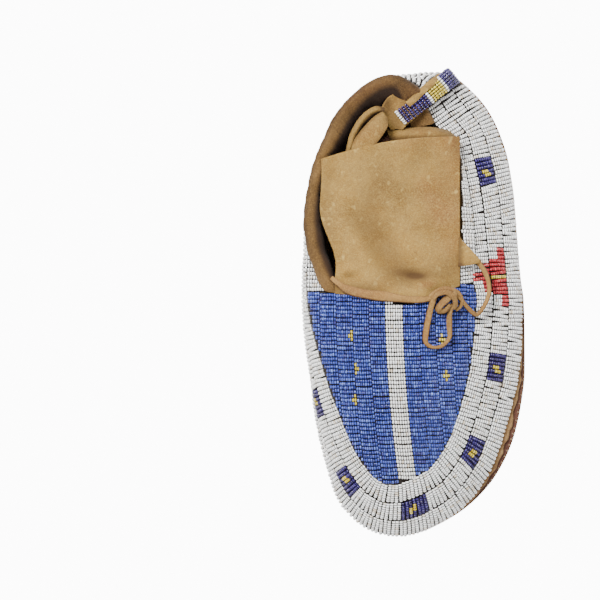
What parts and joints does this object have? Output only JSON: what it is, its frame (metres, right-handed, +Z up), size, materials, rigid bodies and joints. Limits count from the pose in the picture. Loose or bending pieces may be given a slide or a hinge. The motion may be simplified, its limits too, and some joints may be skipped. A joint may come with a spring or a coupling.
{
  "type": "moccasin",
  "caption": "Left-foot buckskin moccasin with a rawhide sole, seed-beaded lanes and vamp, a loose tongue, ankle cuffs and a tied thong lace",
  "frame": {"origin": "On the ground plane under the middle of the sole's length and width", "axes": "+Z up, -Y towards the toe, +Y towards the heel, +X towards the outer side of the foot"},
  "size_m": [0.1153, 0.2396, 0.0513],
  "materials": {
    "rawhide": "matte",
    "sinew": "matte",
    "welt_leather": "matte",
    "buckskin": "matte",
    "napped_buckskin": "matte",
    "thong": "matte",
    "white_beads": "polished",
    "navy_beads": "polished",
    "yellow_beads": "polished",
    "red_beads": "polished",
    "blue_beads": "polished"
  },
  "bodies": {
    "root": {"sole": "rawhide", "sole_stitches": "sinew", "welt": "welt_leather", "upper": "buckskin", "lane_outer": "white_beads", "lane_middle": "white_beads", "lane_inner": "white_beads", "navy_blocks": "navy_beads", "block_bars": "yellow_beads", "side_motifs": "red_beads", "side_motif_bars": "yellow_beads", "vamp_field_inner_side": "blue_beads", "vamp_field_outer_side": "blue_beads", "vamp_stripe": "white_beads", "heel_lane": "navy_beads", "heel_seam_welt": "buckskin", "heel_tab": "buckskin", "cuff_outer_side": "buckskin", "cuff_heel": "napped_buckskin", "tongue_root": "buckskin", "lace_run": "thong", "lace_knot": "thong", "lace_bow": "thong", "lace_side_loop": "thong", "lace_tab": "buckskin"},
    "tongue": {"tongue": "buckskin"},
    "cuff_flap": {"cuff_flap": "napped_buckskin"}
  },
  "joints": [
    {"name": "tongue_fold", "type": "hinge", "parent": "root", "child": "tongue", "pos_m": [-0.01, 0.0148, 0.0445], "axis": [0.9988, 0, -0.048], "range_deg": [0, 100]},
    {"name": "cuff_flap_fold", "type": "hinge", "parent": "root", "child": "cuff_flap", "pos_m": [-0.0536, 0.028, 0.0366], "axis": [-0.03, -0.9996, 0], "range_deg": [0, 80]}
  ]
}
